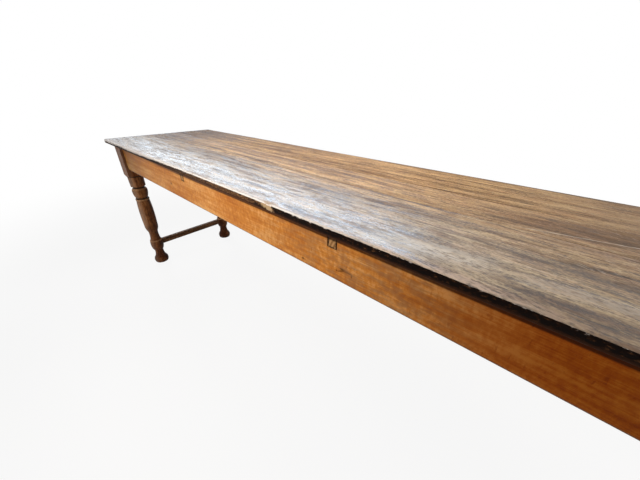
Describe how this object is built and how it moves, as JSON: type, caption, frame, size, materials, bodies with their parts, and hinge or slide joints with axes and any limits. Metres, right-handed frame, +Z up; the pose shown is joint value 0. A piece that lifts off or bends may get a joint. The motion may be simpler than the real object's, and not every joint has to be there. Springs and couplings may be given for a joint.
{
  "type": "refectory table",
  "caption": "Long narrow dining table: plank top on deep aprons and turned legs, with low stretchers across the ends and cross bearers under the top.",
  "frame": {"origin": "on the floor, under the middle of the top", "axes": "+X along the table, +Y from the front to the rear, +Z up"},
  "size_m": [3.13, 0.6, 0.765],
  "materials": {
    "top_wood": "worn, waxed, satin",
    "tongue_wood": "bare",
    "apron_wood": "old varnish, satin",
    "leg_wood": "dark stain, satin",
    "bearer_wood": "bare",
    "peg_wood": "dark stain",
    "block_wood": "bare",
    "screw_steel": "dull"
  },
  "bodies": {
    "root": {"apron_front": "apron_wood", "apron_left": "apron_wood", "apron_pegs_front": "peg_wood", "apron_pegs_left": "peg_wood", "apron_pegs_rear": "peg_wood", "apron_pegs_right": "peg_wood", "apron_rear": "apron_wood", "apron_right": "apron_wood", "bearer_1": "bearer_wood", "bearer_2": "bearer_wood", "bearer_3": "bearer_wood", "bearer_screws_1": "screw_steel", "bearer_screws_2": "screw_steel", "bearer_screws_3": "screw_steel", "glue_block_left": "block_wood", "glue_block_right": "block_wood", "glue_blocks_front": "block_wood", "glue_blocks_rear": "block_wood", "leg_front_left": "leg_wood", "leg_front_right": "leg_wood", "leg_rear_left": "leg_wood", "leg_rear_right": "leg_wood", "stretcher_left": "leg_wood", "stretcher_pegs_left": "peg_wood", "stretcher_pegs_right": "peg_wood", "stretcher_right": "leg_wood", "top_board_front": "top_wood", "top_board_middle": "top_wood", "top_board_rear": "top_wood", "top_tongue_front": "tongue_wood", "top_tongue_rear": "tongue_wood"}
  },
  "joints": []
}
